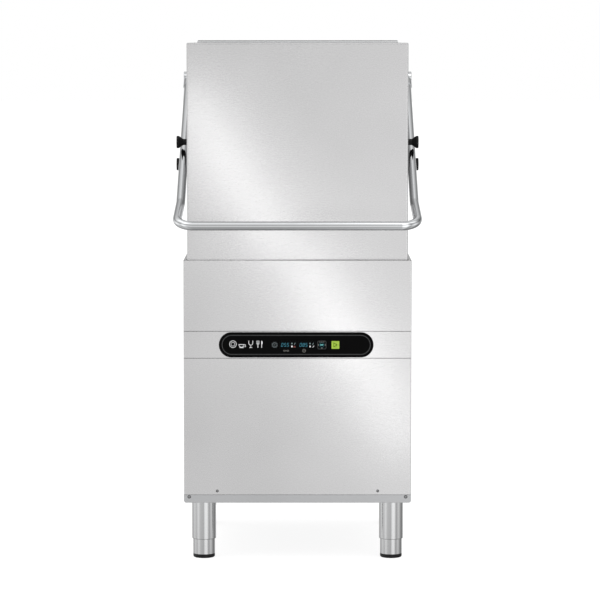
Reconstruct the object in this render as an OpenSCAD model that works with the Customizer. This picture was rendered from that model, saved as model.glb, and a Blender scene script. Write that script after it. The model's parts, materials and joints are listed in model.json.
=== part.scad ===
// Commercial hood-type (pass-through) dishwasher: floor cabinet, lifting hood, bail handle,
// wash chamber with turning spray arms, and the machinery behind the panels.
// Units are millimetres. +Z is up and the front faces -Y. Inside the modules, y counts
// backwards from the front panels' face; in_place() then centres the machine over the origin.

/* [Node] */
// Sub-part to build, or all of them

/* [Cabinet] */
// Width of the cabinet across its side panels
cabinet_width = 640; // [560:1:760]
// Depth of the cabinet from front panels to rear panel
cabinet_depth = 740; // [640:1:860]
// Height of the base rail's underside above the floor
base_z = 167.5; // [120:0.5:220]
// Height of the base rail
base_height = 22.5; // [15:0.5:40]
// Height of the joint between the lower panel and the control strip
strip_low_z = 577; // [500:1:620]
// Height of the joint between the control strip and the upper panel
strip_high_z = 653; // [630:1:720]
// Height of the cabinet's top edge
deck_z = 852; // [800:1:900]
// Thickness of the panel sheets
sheet = 1.2; // [0.8:0.1:2]
// Bend radius of the panels' upright edges
edge_r = 3; // [1.5:0.5:6]

/* [Hood] */
// Width of the hood
hood_width = 620; // [560:1:640]
// Distance the hood's front stands behind the front panels
hood_set_back = 20; // [10:1:60]
// Height of the closed hood's lower edge
hood_low_z = 838; // [820:1:850]
// Height of the closed hood's top
hood_top_z = 1460; // [1350:1:1550]
// Depth of the hood's sides measured from the front panels
hood_back_y = 650; // [600:1:670]
// Thickness of the hood's sheets
hood_sheet = 1.5; // [1:0.1:2]
// Bend radius of the hood's front edges
hood_edge_r = 4; // [2:0.5:8]

/* [Handle] */
// Outside radius of the handle tube
tube_r = 12.5; // [10:0.5:16]
// Distance of each arm's centre line from the machine's centre
arm_x = 328; // [320:1:340]
// Slope of the side arms below horizontal, in degrees
arm_slope = 28.2; // [20:0.1:35]
// Slope of the front part of the handle below horizontal, in degrees
nose_slope = 21.8; // [15:0.1:30]
// Outward splay of the front part, in degrees
nose_splay = 2.8; // [0:0.1:6]
// Centre-line radius of the handle's front corners
corner_r = 45; // [30:1:80]
// Distance of the grip bar's centre in front of the panels
grip_reach = 107.5; // [60:0.5:150]
// Distance of the bend in each arm behind the front panels
arm_bend_y = 35; // [20:1:80]
// Depth of the handle's pivot behind the front panels
pivot_y = 670; // [640:1:700]
// Height of the handle's pivot
pivot_z = 1353.65; // [1300:0.05:1400]

/* [Guide rollers] */
// Depth of the rollers behind the front panels
roller_y = 271; // [200:1:350]
// Height midway between the two rollers of a pair
roller_mid_z = 1142.5; // [1100:0.5:1180]
// Distance between the two rollers of a pair
roller_gap = 64; // [58:0.5:80]
// Radius of the roller's neck
roller_neck_r = 9; // [7:0.5:12]
// Radius of the roller's flange
roller_flange_r = 18; // [14:0.5:24]

/* [Legs] */
// Distance of each front leg's centre from the machine's centre
leg_x = 266; // [220:1:300]
// Distance of each rear leg's centre from the machine's centre
leg_rear_x = 282; // [220:1:300]
// Depth of the front legs behind the front panels
leg_front_y = 80; // [60:1:140]
// Depth of the rear legs behind the front panels
leg_rear_y = 660; // [560:1:700]
// Outside radius of a leg's outer tube
leg_r = 34; // [25:0.5:40]
// Outside radius of the adjustable foot
foot_r = 31; // [20:0.5:35]
// Height of the outer tube's lower end above the floor
leg_low_z = 54; // [40:1:100]

/* [Controls] */
// Width of the control plate
plate_width = 434; // [300:1:500]
// Height of the control plate
plate_height = 71; // [50:1:74]
// Offset of the control plate from the machine's centre
plate_x = -3.6; // [-50:0.1:50]
// Height of the control plate's centre
plate_z = 615; // [600:1:630]

/* [Wash chamber] */
// Half width of the tank inside
tank_half_x = 282; // [240:1:300]
// Depth position of the tank's centre and of the spray arms
arm_centre_y = 320; // [300:1:340]
// Half depth of the tank inside
tank_half_y = 266; // [240:1:270]
// Height of the tank's floor inside
tank_floor_z = 600; // [560:1:640]
// Reach of a wash arm from its centre
wash_arm_reach = 238; // [200:1:255]
// Reach of a rinse arm from its centre
rinse_arm_reach = 226; // [200:1:250]
// Resting angle of the lower arms, in degrees
lower_arm_angle = 24; // [0:1:180]
// Resting angle of the upper arms, in degrees
upper_arm_angle = 152; // [0:1:180]

/* [Hidden] */
$fn = 48;
back_reach = 12;
y_shift = -(cabinet_depth + back_reach - grip_reach - tube_r) / 2;
half_w = cabinet_width / 2;
half_hood = hood_width / 2;
gap = 0.5;
roller_up_z = roller_mid_z + roller_gap / 2;
roller_down_z = roller_mid_z - roller_gap / 2;
screw_r = 2;
screw_hole_r = 2.3;
panel_top_z = deck_z;
base_top_z = base_z + base_height;
tray_z = base_z + 2;
deck_plate_z = 834;
deck_plate_t = 2;
housing_half = 301;
housing_y = 626;
housing_top_z = 1467;
riser_y = 608;
riser_x = 30;
wash_pipe_r = 16;
rinse_pipe_r = 9;
pipe_low_z = 690;
pipe_high_z = 1412;
pipe_bend_r = 50;
manifold_back_y = arm_centre_y + 28;
nose_len = (arm_bend_y + grip_reach) / cos(nose_slope);
nose_straight = (nose_len - corner_r - corner_r * sin(nose_splay)) / cos(nose_splay);
grip_half = arm_x + nose_straight * sin(nose_splay) - corner_r * cos(nose_splay);
lever_len = 60;
lever_x = 226;
spring_x = 245;
spring_y = 708;
spring_low_z = 866;
spring_high_z = 1312;
spring_wire_r = 3;
spring_mean_r = 19;
shaft_r = 10;
key_travel = 1.5;
steel = [0.75, 0.76, 0.77];
bright = [0.85, 0.86, 0.87];
black = [0.06, 0.06, 0.07];

// ---- shared shapes ----

module in_place() {
    translate([0, y_shift, 0]) children();
}

module block(x0, x1, y0, y1, z0, z1) {
    translate([x0, y0, z0]) cube([x1 - x0, y1 - y0, z1 - z0]);
}

module rod_x(x0, x1, y, z, r) {
    translate([x0, y, z]) rotate([0, 90, 0]) cylinder(h = x1 - x0, r = r);
}

module rod_y(y0, y1, x, z, r) {
    translate([x, y0, z]) rotate([-90, 0, 0]) cylinder(h = y1 - y0, r = r);
}

module rod_z(z0, z1, x, y, r) {
    translate([x, y, z0]) cylinder(h = z1 - z0, r = r);
}

// a square with rounded corners, centred, for key caps and plates
module round_square(w, h, r) {
    square([w - 2 * r, h], center = true);
    square([w, h - 2 * r], center = true);
    for (sx = [-1, 1]) {
        for (sz = [-1, 1]) {
            translate([sx * (w / 2 - r), sz * (h / 2 - r)]) circle(r = r);
        }
    }
}

// a flat shape in X and Z given a thickness along Y, its front face at y0
module slab_y(y0, y1) {
    translate([0, y1, 0]) rotate([90, 0, 0]) linear_extrude(height = y1 - y0) children();
}

// plan outline of a sheet folded back at both sides
module folded_plan(half, depth, t, r) {
    difference() {
        union() {
            translate([-half + r, 0]) square([2 * half - 2 * r, depth]);
            translate([-half, r]) square([2 * half, depth - r]);
            translate([-half + r, r]) circle(r = r);
            translate([half - r, r]) circle(r = r);
        }
        union() {
            translate([-half + r, t]) square([2 * half - 2 * r, depth]);
            translate([-half + t, r]) square([2 * half - 2 * t, depth]);
            translate([-half + r, r]) circle(r = r - t);
            translate([half - r, r]) circle(r = r - t);
        }
    }
}

// a quarter bend of a pipe in the Y-Z plane: arrives going up, leaves towards dir along Y
module up_to_side(x, y, z, bend, r, dir) {
    translate([x, y + dir * bend, z]) rotate([90, 0, 90]) rotate([0, 0, dir > 0 ? 90 : 0])
        rotate_extrude(angle = 90) translate([bend, 0]) circle(r = r);
}

// a quarter bend that arrives along Y going back and leaves upwards
module side_to_up(x, y, z, bend, r) {
    translate([x, y, z + bend]) rotate([90, 0, 90]) rotate([0, 0, -90])
        rotate_extrude(angle = 90) translate([bend, 0]) circle(r = r);
}

module hex_y(y0, y1, x, z, r) {
    translate([x, y0, z]) rotate([-90, 0, 0]) cylinder(h = y1 - y0, r = r, $fn = 6);
}

module hex_x(x0, x1, y, z, r) {
    translate([x0, y, z]) rotate([0, 90, 0]) cylinder(h = x1 - x0, r = r, $fn = 6);
}

// ---- cabinet ----

// welded base: a shallow tray with rounded lower edges and two stiffening bars
module base_frame() {
    color(steel) in_place() difference() {
        union() {
            difference() {
                slab_y(0, cabinet_depth) translate([0, base_z + base_height / 2]) union() {
                    translate([-half_w + 7, -base_height / 2]) square([cabinet_width - 14, 14]);
                    translate([-half_w, 7 - base_height / 2]) square([cabinet_width, base_height - 7]);
                    translate([-half_w + 7, 7 - base_height / 2]) circle(r = 7);
                    translate([half_w - 7, 7 - base_height / 2]) circle(r = 7);
                }
                block(-half_w + 7, half_w - 7, 2, cabinet_depth - 2, tray_z, base_top_z + 1);
                block(-half_w + 2, half_w - 2, 2, cabinet_depth - 2, base_z + 7, base_top_z + 1);
            }
            block(-half_w + 7, half_w - 7, 218, 222, tray_z, tray_z + 16);
            block(-half_w + 7, half_w - 7, 598, 602, tray_z, tray_z + 16);
        }
        for (sx = [-1, 1]) {
            rod_y(-1, 4, sx * 305, 184.5, screw_hole_r);
        }
    }
}

// four fixed outer tubes with a small chamfer at the mouth
module leg_tubes() {
    color(bright) in_place() for (sx = [-1, 1]) {
        for (place = [[leg_x, leg_front_y], [leg_rear_x, leg_rear_y]]) {
            translate([sx * place.x, place.y, leg_low_z]) rotate_extrude() polygon([
                [foot_r + 0.08, 0], [leg_r - 1.2, 0], [leg_r, 1.6],
                [leg_r, base_z - leg_low_z], [foot_r + 0.08, base_z - leg_low_z]
            ]);
        }
    }
}

// screw-in foot: a steel tube standing on a rounded plastic pad
module foot(x, y) {
    color(bright) in_place() translate([x, y, 0]) rotate_extrude() union() {
        square([foot_r - 3, 11]);
        translate([0, 3]) square([foot_r, 7.2]);
        translate([foot_r - 3, 3]) circle(r = 3);
        translate([0, 10]) square([foot_r - 0.8, 2]);
        translate([foot_r - 3, 11]) square([3, 108]);
    }
}

module foot_front_left() {
    foot(-leg_x, leg_front_y);
}

module foot_front_right() {
    foot(leg_x, leg_front_y);
}

module foot_rear_left() {
    foot(-leg_rear_x, leg_rear_y);
}

module foot_rear_right() {
    foot(leg_rear_x, leg_rear_y);
}

// one side sheet with its four folded edges
module side_panel(s) {
    x0 = s > 0 ? half_w - sheet : -half_w;
    f0 = s > 0 ? half_w - 12 : -half_w + sheet;
    f1 = f0 + 12 - sheet;
    t0 = s > 0 ? half_w - 8 : -half_w + sheet;
    t1 = t0 + 8 - sheet;
    back = cabinet_depth - 2.7;
    color(steel) in_place() difference() {
        union() {
            block(x0, x0 + sheet, 20.5, back, base_top_z, panel_top_z);
            block(f0, f1, 20.5, 20.5 + sheet, base_top_z, panel_top_z - 20);
            block(f0, f1, back - sheet, back, base_top_z, deck_plate_z - 1);
            block(f0, f1, 20.5, back, base_top_z, base_top_z + sheet);
            block(t0, t1, 20.5, back, panel_top_z - sheet, panel_top_z);
        }
        for (z = [210, 830]) {
            rod_y(back - 3, back + 1, s * 312, z, screw_hole_r);
        }
    }
}

module left_side_panel() {
    side_panel(-1);
}

module right_side_panel() {
    side_panel(1);
}

// front sheet above the control strip, its top folded back as the front of the worktop rim
module upper_front_panel() {
    z0 = strip_high_z + gap;
    color(steel) in_place() union() {
        translate([0, 0, z0]) linear_extrude(height = panel_top_z - z0)
            folded_plan(half_w, 20, sheet, edge_r);
        block(-half_w + 4, half_w - 4, sheet, 17, panel_top_z - sheet, panel_top_z);
        block(-half_w + 4, half_w - 4, 17 - sheet, 17, panel_top_z - 12, panel_top_z - sheet);
        block(-half_w + 4, half_w - 4, sheet, 15, z0, z0 + sheet);
    }
}

// strip that carries the controls, with an aperture behind the control plate
module control_strip() {
    z0 = strip_low_z + gap;
    z1 = strip_high_z - gap;
    color(steel) in_place() difference() {
        union() {
            translate([0, 0, z0]) linear_extrude(height = z1 - z0)
                folded_plan(half_w, 20, sheet, edge_r);
            block(-half_w + 4, half_w - 4, sheet, 15, z1 - sheet, z1);
            block(-half_w + 4, half_w - 4, sheet, 15, z0, z0 + sheet);
        }
        block(-84, 126, -1, sheet + 0.4, plate_z - 22, plate_z + 22);
    }
}

// removable sheet in front of the machinery, held by two screws near its foot
module lower_front_panel() {
    z0 = base_top_z + gap;
    z1 = strip_low_z - gap;
    color(steel) in_place() difference() {
        union() {
            translate([0, 0, z0]) linear_extrude(height = z1 - z0)
                folded_plan(half_w, 20, sheet, edge_r);
            block(-half_w + 4, half_w - 4, sheet, 15, z1 - sheet, z1);
            block(-half_w + 4, half_w - 4, sheet, 15, z0, z0 + sheet);
        }
        for (sx = [-1, 1]) {
            rod_y(-1, 3, sx * 226, 201, screw_hole_r);
        }
    }
}

// rear sheet with cooling slots and the holes for water, drain and cable
module rear_panel() {
    y0 = cabinet_depth - 2.5;
    color(steel) in_place() difference() {
        block(-half_w + 2, half_w - 2, y0, y0 + sheet, base_top_z + 1, 850);
        for (sx = [-1, 1]) {
            for (k = [0 : 7]) {
                block(sx * 190 - 45, sx * 190 + 45, y0 - 1, y0 + 3, 480 + 14 * k, 484 + 14 * k);
            }
            for (z = [210, 830]) {
                rod_y(y0 - 1, y0 + 3, sx * 312, z, screw_hole_r);
            }
        }
        rod_y(y0 - 1, y0 + 3, 255, 320, 15.5);
        rod_y(y0 - 1, y0 + 3, 150, 230, 8.2);
        rod_y(y0 - 1, y0 + 3, -200, 250, 21);
    }
}

module screw_y(x, y, z, head_h, s) {
    translate([x, y, z]) rotate([s > 0 ? 90 : -90, 0, 0]) union() {
        cylinder(h = head_h, r1 = 4.5, r2 = 3.6);
        translate([0, 0, -8]) cylinder(h = 8, r = screw_r);
    }
}

// panel and frame screws, all alike
module panel_screws() {
    color(bright) in_place() union() {
        for (sx = [-1, 1]) {
            screw_y(sx * 226, 0, 201, 1.8, 1);
            screw_y(sx * 305, 0, 184.5, 1.8, 1);
            for (z = [210, 830]) {
                screw_y(sx * 312, cabinet_depth - 2.5 + sheet, z, 1.3, -1);
            }
        }
    }
}

// ---- controls ----

module key_hole(x, w) {
    slab_y(-4, 1) translate([x, plate_z]) round_square(w + 0.8, w + 0.8, w / 5);
}

// round-ended front plate with windows for the two readouts and three keys
module control_plate() {
    reach = (plate_width - plate_height) / 2;
    color(black) in_place() difference() {
        slab_y(-2.5, 0) translate([plate_x, plate_z]) union() {
            square([2 * reach, plate_height], center = true);
            translate([-reach, 0]) circle(d = plate_height);
            translate([reach, 0]) circle(d = plate_height);
        }
        key_hole(-64, 20);
        key_hole(68.5, 29);
        key_hole(106.5, 23);
        for (x = [-26, 26]) {
            block(x - 24.2, x + 24.2, -4, 1, plate_z - 10.2, plate_z + 11.2);
        }
    }
}

// clear windows over the two numeric readouts
module display_windows() {
    color([0.1, 0.2, 0.25]) in_place() for (x = [-26, 26]) {
        block(x - 24, x + 24, -2.3, -0.4, plate_z - 10, plate_z + 11);
    }
}

// a key cap with its retaining flange behind the plate and its stem to the switch
module key(x, w, face) {
    color(face) in_place() union() {
        slab_y(-3.4, 2) translate([x, plate_z]) round_square(w, w, w / 5);
        slab_y(1.6, 3) translate([x, plate_z]) square([w + 4, w + 4], center = true);
        rod_y(3, 8.6, x, plate_z, 3);
    }
}

module drain_key() {
    key(-64, 20, [0.2, 0.3, 0.35]);
}

module power_key() {
    key(68.5, 29, [0.35, 0.36, 0.38]);
}

module start_key() {
    key(106.5, 23, [0.6, 0.75, 0.2]);
}

// circuit board behind the strip with one switch for each key
module control_board() {
    color([0.1, 0.35, 0.2]) in_place() union() {
        block(-84, 126, 14, 15.6, plate_z - 26, plate_z + 26);
        for (x = [-64, 68.5, 106.5]) {
            block(x - 5, x + 5, 10.6, 14, plate_z - 5, plate_z + 5);
        }
        block(-48, 48, 6, 14, plate_z - 10, plate_z + 10);
        for (x = [-80, 122]) {
            for (z = [plate_z - 24, plate_z + 24]) {
                rod_y(sheet, 14, x, z, 1.9);
            }
        }
    }
}

// ---- deck and tank ----

// sheet under the hood's edge, open over the tank
module deck_plate() {
    z0 = deck_plate_z;
    y0 = arm_centre_y - tank_half_y;
    y1 = arm_centre_y + tank_half_y;
    color(steel) in_place() difference() {
        block(-half_w + 2.5, half_w - 2.5, 17.6, cabinet_depth - 3, z0, z0 + deck_plate_t);
        block(-tank_half_x, tank_half_x, y0, y1, z0 - 1, z0 + 4);
        rod_z(z0 - 1, z0 + 4, -riser_x, riser_y, wash_pipe_r + 0.3);
        rod_z(z0 - 1, z0 + 4, riser_x, riser_y, rinse_pipe_r + 0.3);
    }
}

// wash tank: an open box with ledges for the filters and a spigot for the pump's hose
module tank() {
    x = tank_half_x;
    y0 = arm_centre_y - tank_half_y;
    y1 = arm_centre_y + tank_half_y;
    z0 = tank_floor_z;
    z1 = deck_plate_z;
    color(steel) in_place() difference() {
        union() {
            block(-x - 2, x + 2, y0 - 2, y1 + 2, z0 - 2, z0);
            block(-x - 2, -x, y0 - 2, y1 + 2, z0, z1);
            block(x, x + 2, y0 - 2, y1 + 2, z0, z1);
            block(-x, x, y0 - 2, y0, z0, z1);
            block(-x, x, y1, y1 + 2, z0, z1);
            block(-x, -x + 10, y0, y1, 731, 734.6);
            block(x - 10, x, y0, y1, 731, 734.6);
            rod_z(z0 - 30, z0 - 1, -40, 150, 24);
        }
        rod_z(z0 - 40, z0 + 1, -40, 150, 21);
        rod_z(z0 - 4, z0 + 1, -200, 130, 22);
        rod_y(y1 - 1, y1 + 4, -riser_x, pipe_low_z, wash_pipe_r + 0.3);
        rod_y(y1 - 1, y1 + 4, riser_x, pipe_low_z, rinse_pipe_r + 0.3);
        rod_x(-x - 4, -x + 1, 395, 625, 5);
        rod_x(-x - 4, -x + 1, 425, 625, 5);
    }
}

// rod frame the racks slide along from side to side
module rack_track() {
    low_z = 852;
    high_z = 884;
    color(bright) in_place() union() {
        for (s = [-1, 1]) {
            y = arm_centre_y + s * 252;
            y_out = arm_centre_y + s * 262;
            rod_x(-298, 298, y, low_z, 5);
            rod_x(-298, 298, y_out, high_z, 4);
            for (x = [-291, 291]) {
                rod_z(deck_plate_z + deck_plate_t, low_z, x, y, 4.5);
                rod_z(deck_plate_z + deck_plate_t, high_z, x, y_out, 4);
            }
        }
        for (x = [-262, 262]) {
            rod_y(arm_centre_y - 252, arm_centre_y + 252, x, low_z - 4, 4);
        }
    }
}

// one perforated tray over the tank
module surface_filter(s) {
    x0 = s > 0 ? 60 : -280;
    x1 = x0 + 220;
    y0 = arm_centre_y - tank_half_y + 2;
    y1 = arm_centre_y + tank_half_y - 2;
    difference() {
        union() {
            block(x0, x1, y0, y1, 735, 736.5);
            block(x0, x0 + 1.5, y0, y1, 736.5, 748);
            block(x1 - 1.5, x1, y0, y1, 736.5, 748);
            block(x0, x1, y0, y0 + 1.5, 736.5, 748);
            block(x0, x1, y1 - 1.5, y1, 736.5, 748);
        }
        for (k = [0 : 13]) {
            for (j = [0 : 1]) {
                block(x0 + 14 + 100 * j, x0 + 106 + 100 * j, y0 + 130 + 26 * k, y0 + 142 + 26 * k, 734, 738);
            }
        }
        rod_z(730, 750, s * 200, 130, 22);
    }
}

// two lift-out trays that keep food soil out of the tank
module surface_filters() {
    color(bright) in_place() union() {
        surface_filter(-1);
        surface_filter(1);
    }
}

// slotted basket over the pump's inlet
module suction_filter() {
    color(bright) in_place() difference() {
        union() {
            rod_z(tank_floor_z, 700, -40, 150, 42);
            rod_z(700, 716, -40, 150, 12);
        }
        rod_z(tank_floor_z - 1, 697, -40, 150, 40);
        for (k = [0 : 7]) {
            translate([-40, 150, 615]) rotate([0, 0, 22.5 * k]) translate([-50, -3, 0]) cube([100, 6, 70]);
        }
    }
}

// standpipe that sets the water level and drains the tank when it is pulled up
module overflow_pipe() {
    color([0.8, 0.82, 0.84]) in_place() difference() {
        union() {
            rod_z(592, 604.4, -200, 130, 15.9);
            rod_z(604.4, 610, -200, 130, 20);
            rod_z(610, 750, -200, 130, 16);
            rod_z(750, 766, -200, 130, 19);
        }
        rod_z(590, 742, -200, 130, 13);
        for (a = [0, 90]) {
            translate([-200, 130, 722]) rotate([0, 0, a]) translate([-25, -5, 0]) cube([50, 10, 14]);
        }
    }
}

// looped tank heating element with its flange on the tank's left wall
module tank_heater() {
    x0 = -tank_half_x - 2;
    color([0.5, 0.48, 0.45]) in_place() union() {
        block(x0 - 10, x0, 378, 442, 608, 642);
        rod_x(x0, -110, 395, 625, 4.5);
        rod_x(x0, -110, 425, 625, 4.5);
        translate([-110, 410, 625]) rotate([0, 0, -90]) rotate_extrude(angle = 180)
            translate([15, 0]) circle(r = 4.5);
    }
}

// ---- spray arms and pipes ----

module manifold_block(z0, z1) {
    block(-52, 52, arm_centre_y - 24, manifold_back_y, z0, z1);
}

// foot in the tank that feeds the lower arms, with its fixed spindle
module lower_manifold() {
    y = arm_centre_y;
    block(-30, 30, y - 20, y + 20, tank_floor_z, 668);
    manifold_block(668, 712);
    rod_z(712, 765.4, 0, y, 20);
    rod_z(765.4, 829, 0, y, 12);
}

// head under the hood's roof that feeds the upper arms, with its fixed spindle
module upper_manifold() {
    y = arm_centre_y;
    manifold_block(1390, 1434);
    rod_z(1345, 1390, 0, y, 20);
    rod_z(1281.5, 1345, 0, y, 12);
}

module spray_manifolds() {
    color(bright) in_place() union() {
        lower_manifold();
        upper_manifold();
    }
}

// a pressed wash arm: a hub and two flat arms with slanting slots, z0 its lower face
module wash_arm(z0, angle, up) {
    h = 29.7;
    za = z0 + 6;
    translate([0, arm_centre_y, 0]) rotate([0, 0, angle]) difference() {
        union() {
            rod_z(z0, z0 + h, 0, 0, 27);
            block(-wash_arm_reach + 17, wash_arm_reach - 17, -17, 17, za, za + 17);
            for (s = [-1, 1]) {
                rod_z(za, za + 17, s * (wash_arm_reach - 17), 0, 17);
            }
        }
        rod_z(z0 - 1, z0 + h + 1, 0, 0, 12.06);
        for (s = [-1, 1]) {
            for (k = [0 : 4]) {
                translate([s * (62 + 36 * k), 0, up > 0 ? za + 15 : za - 1]) rotate([0, 0, s * 40])
                    translate([-1.5, -11, 0]) cube([3, 22, 3]);
            }
        }
    }
}

// a thin rinse arm: a hub and two round arms with small jets, z0 its lower face
module rinse_arm(z0, angle, up) {
    h = 19.8;
    zc = z0 + h / 2;
    translate([0, arm_centre_y, 0]) rotate([0, 0, angle]) difference() {
        union() {
            rod_z(z0, z0 + h, 0, 0, 21);
            rod_x(-rinse_arm_reach, rinse_arm_reach, 0, zc, 6.5);
            for (s = [-1, 1]) {
                for (k = [0 : 3]) {
                    translate([s * (70 + 46 * k), 0, zc]) rotate([up > 0 ? 0 : 180, 0, 0])
                        cylinder(h = 9.5, r1 = 5, r2 = 3.5);
                }
            }
        }
        rod_z(z0 - 1, z0 + h + 1, 0, 0, 12.06);
    }
}

module lower_wash_arm() {
    color(bright) in_place() wash_arm(765.7, lower_arm_angle, 1);
}

module lower_rinse_arm() {
    color(bright) in_place() rinse_arm(795.8, lower_arm_angle + 62, 1);
}

module upper_wash_arm() {
    color(bright) in_place() wash_arm(1315, upper_arm_angle, -1);
}

module upper_rinse_arm() {
    color(bright) in_place() rinse_arm(1294.9, upper_arm_angle - 58, -1);
}

module arm_nut(z0, open_up) {
    z_hole = open_up ? z0 + 3 : z0 - 1;
    difference() {
        union() {
            rod_z(z0, z0 + 16, 0, arm_centre_y, 19);
            for (a = [0 : 45 : 315]) {
                translate([0, arm_centre_y, z0]) rotate([0, 0, a]) translate([18.5, 0, 0]) cylinder(h = 16, r = 3);
            }
        }
        rod_z(z_hole, z_hole + 14, 0, arm_centre_y, 12.05);
    }
}

// hand nuts that hold the arms on their spindles
module arm_nuts() {
    color(black) in_place() union() {
        arm_nut(816, false);
        arm_nut(1278.5, true);
    }
}

// riser from the pump's hose to both manifolds, the branch at tank level going forward
module pipe_pair(x, r, low_z) {
    rod_z(low_z, pipe_high_z - pipe_bend_r, x, riser_y, r);
    up_to_side(x, riser_y, pipe_high_z - pipe_bend_r, pipe_bend_r, r, -1);
    rod_y(manifold_back_y, riser_y - pipe_bend_r, x, pipe_high_z, r);
    rod_y(manifold_back_y, riser_y, x, pipe_low_z, r);
}

module wash_riser() {
    color(bright) in_place() pipe_pair(-riser_x, wash_pipe_r, 572);
}

module rinse_riser() {
    color(bright) in_place() pipe_pair(riser_x, rinse_pipe_r, 600);
}

// ---- rear housing ----

module column(s) {
    x1 = s * housing_half;
    mirror([s > 0 ? 0 : 1, 0, 0]) difference() {
        union() {
            block(299, housing_half, 627.5, 690, 836, 1455);
            block(281, 299, 627.5, 629.5, 836, 1455);
            block(281, 299, 688, 690, 836, 1455);
            block(301, 305, 634, 646, 856, 1452);
            block(281, 299, 629.5, 688, 836, 840);
        }
        rod_x(290, 304, pivot_y, pivot_z, 14.05);
    }
}

// two upright channels with their guide bars, tied by a top bar and the springs' anchor plate
module rear_frame() {
    color(steel) in_place() union() {
        column(-1);
        column(1);
        block(-281, 281, 628, 631, 1425, 1455);
        block(-281, 281, 631, 655, 1425, 1428);
        block(-281, 281, 640, 729, 860, 863);
        block(-281, 281, 686, 689, 844, 860);
        for (s = [-1, 1]) {
            rod_z(863, 900, s * spring_x, spring_y, 13.5);
        }
    }
}

// sheet that closes the back of the wash chamber
module chamber_back() {
    color(steel) in_place() block(-housing_half, housing_half, housing_y, housing_y + 1.5, 836, housing_top_z - 2);
}

// removable cover over the columns, shaft and springs
module rear_cover() {
    h = housing_half;
    y1 = cabinet_depth;
    color([0.3, 0.31, 0.32]) in_place() union() {
        block(-h, h, y1 - sheet, y1, 853, housing_top_z);
        block(-h, -h + sheet, 690.5, y1 - sheet, 853, housing_top_z);
        block(h - sheet, h, 690.5, y1 - sheet, 853, housing_top_z);
        block(-h + sheet, h - sheet, housing_y, y1 - sheet, housing_top_z - sheet, housing_top_z);
    }
}

// flanged plastic bushes that carry the handle's cross shaft
module shaft_bearings() {
    color(black) in_place() for (s = [0, 1]) {
        mirror([s, 0, 0]) difference() {
            union() {
                rod_x(294, 301.5, pivot_y, pivot_z, 14);
                rod_x(301.5, 304, pivot_y, pivot_z, 18);
            }
            rod_x(290, 306, pivot_y, pivot_z, shaft_r + 0.06);
        }
    }
}

// ---- counterbalance ----

// two tension springs that balance the hood
module lift_springs() {
    turns = 18;
    r0 = spring_mean_r - spring_wire_r;
    r1 = spring_mean_r + spring_wire_r;
    color([0.4, 0.4, 0.42]) in_place() for (s = [-1, 1]) {
        translate([s * spring_x, spring_y, spring_low_z])
            linear_extrude(height = spring_high_z - spring_low_z, twist = -360 * turns, slices = turns * 10, $fn = 6)
                polygon([
                    for (a = [-50, 0, 50]) [r1 * cos(a), r1 * sin(a)],
                    for (a = [50, 0, -50]) [r0 * cos(a), r0 * sin(a)]
                ]);
    }
}

// hooks that carry the springs' upper ends and hang over the levers' pins
module spring_hooks() {
    color(steel) in_place() for (s = [0, 1]) {
        mirror([s, 0, 0]) union() {
            rod_z(spring_high_z - 38, spring_high_z + 0.4, spring_x, spring_y, 13.5);
            rod_z(spring_high_z + 0.4, spring_high_z + 4, spring_x, spring_y, 22);
            block(238, 252, 704, 712, spring_high_z + 4, 1387.6);
            block(238, 252, 704, 737, 1387.6, 1396);
        }
    }
}

module lever_boss(x, dist, r) {
    rod_x(x, x + 8, dist, 0, r);
}

// cross shaft behind the hood with the two levers the springs pull on
module handle_shaft() {
    color(steel) in_place() translate([0, pivot_y, pivot_z]) union() {
        rod_x(-341, 341, 0, 0, shaft_r);
        for (s = [0, 1]) {
            mirror([s, 0, 0]) rotate([arm_slope, 0, 0]) union() {
                lever_boss(lever_x, 0, 17);
                lever_boss(lever_x, lever_len, 8);
                block(lever_x, lever_x + 8, 0, lever_len, -8, 8);
                rod_x(lever_x + 8, lever_x + 30, lever_len, 0, 4);
            }
        }
    }
}

// ---- handle ----

// one side of the bail: hub, side arm, splayed nose and front corner, with a slim
// weld bead where two stretches of tube meet
module bail_side() {
    bead_r = tube_r + 0.2;
    arm_len = (pivot_y - arm_bend_y) / cos(arm_slope);
    bend_z = pivot_z - (pivot_y - arm_bend_y) * tan(arm_slope);
    rod_x(313, 343, pivot_y, pivot_z, 19);
    translate([arm_x, pivot_y, pivot_z]) rotate([90 + arm_slope, 0, 0]) union() {
        cylinder(h = arm_len, r = tube_r);
        translate([0, 0, 14]) cylinder(h = 40, r = 15);
    }
    translate([arm_x, arm_bend_y, bend_z]) sphere(r = bead_r);
    translate([0, arm_bend_y, bend_z]) rotate([90 + nose_slope, 0, 0]) union() {
        translate([arm_x, 0, 0]) rotate([0, nose_splay, 0]) union() {
            cylinder(h = nose_straight, r = tube_r);
            translate([0, 0, nose_straight - 2]) cylinder(h = 4, r = bead_r);
        }
        translate([grip_half, 0, nose_len - corner_r]) rotate([90, 0, 0]) rotate([0, 0, -nose_splay])
            rotate_extrude(angle = 90 + nose_splay) translate([corner_r, 0]) circle(r = tube_r);
        translate([grip_half - 2, 0, nose_len]) rotate([0, 90, 0]) cylinder(h = 4, r = bead_r);
    }
}

// U-shaped tube the operator lifts, welded to its two hubs
module handle_bail() {
    bend_z = pivot_z - (pivot_y - arm_bend_y) * tan(arm_slope);
    color(bright) in_place() difference() {
        union() {
            bail_side();
            mirror([1, 0, 0]) bail_side();
            rod_x(-grip_half, grip_half, -grip_reach, bend_z - nose_len * sin(nose_slope), tube_r);
        }
        rod_x(-345, 345, pivot_y, pivot_z, shaft_r + 0.03);
    }
}

// ---- hood ----

// front sheet of the hood with its side edges folded back
module hood_front() {
    color(steel) in_place() translate([0, hood_set_back, hood_low_z])
        linear_extrude(height = hood_top_z - hood_low_z)
            folded_plan(half_hood, 12, hood_sheet, hood_edge_r);
}

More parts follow.
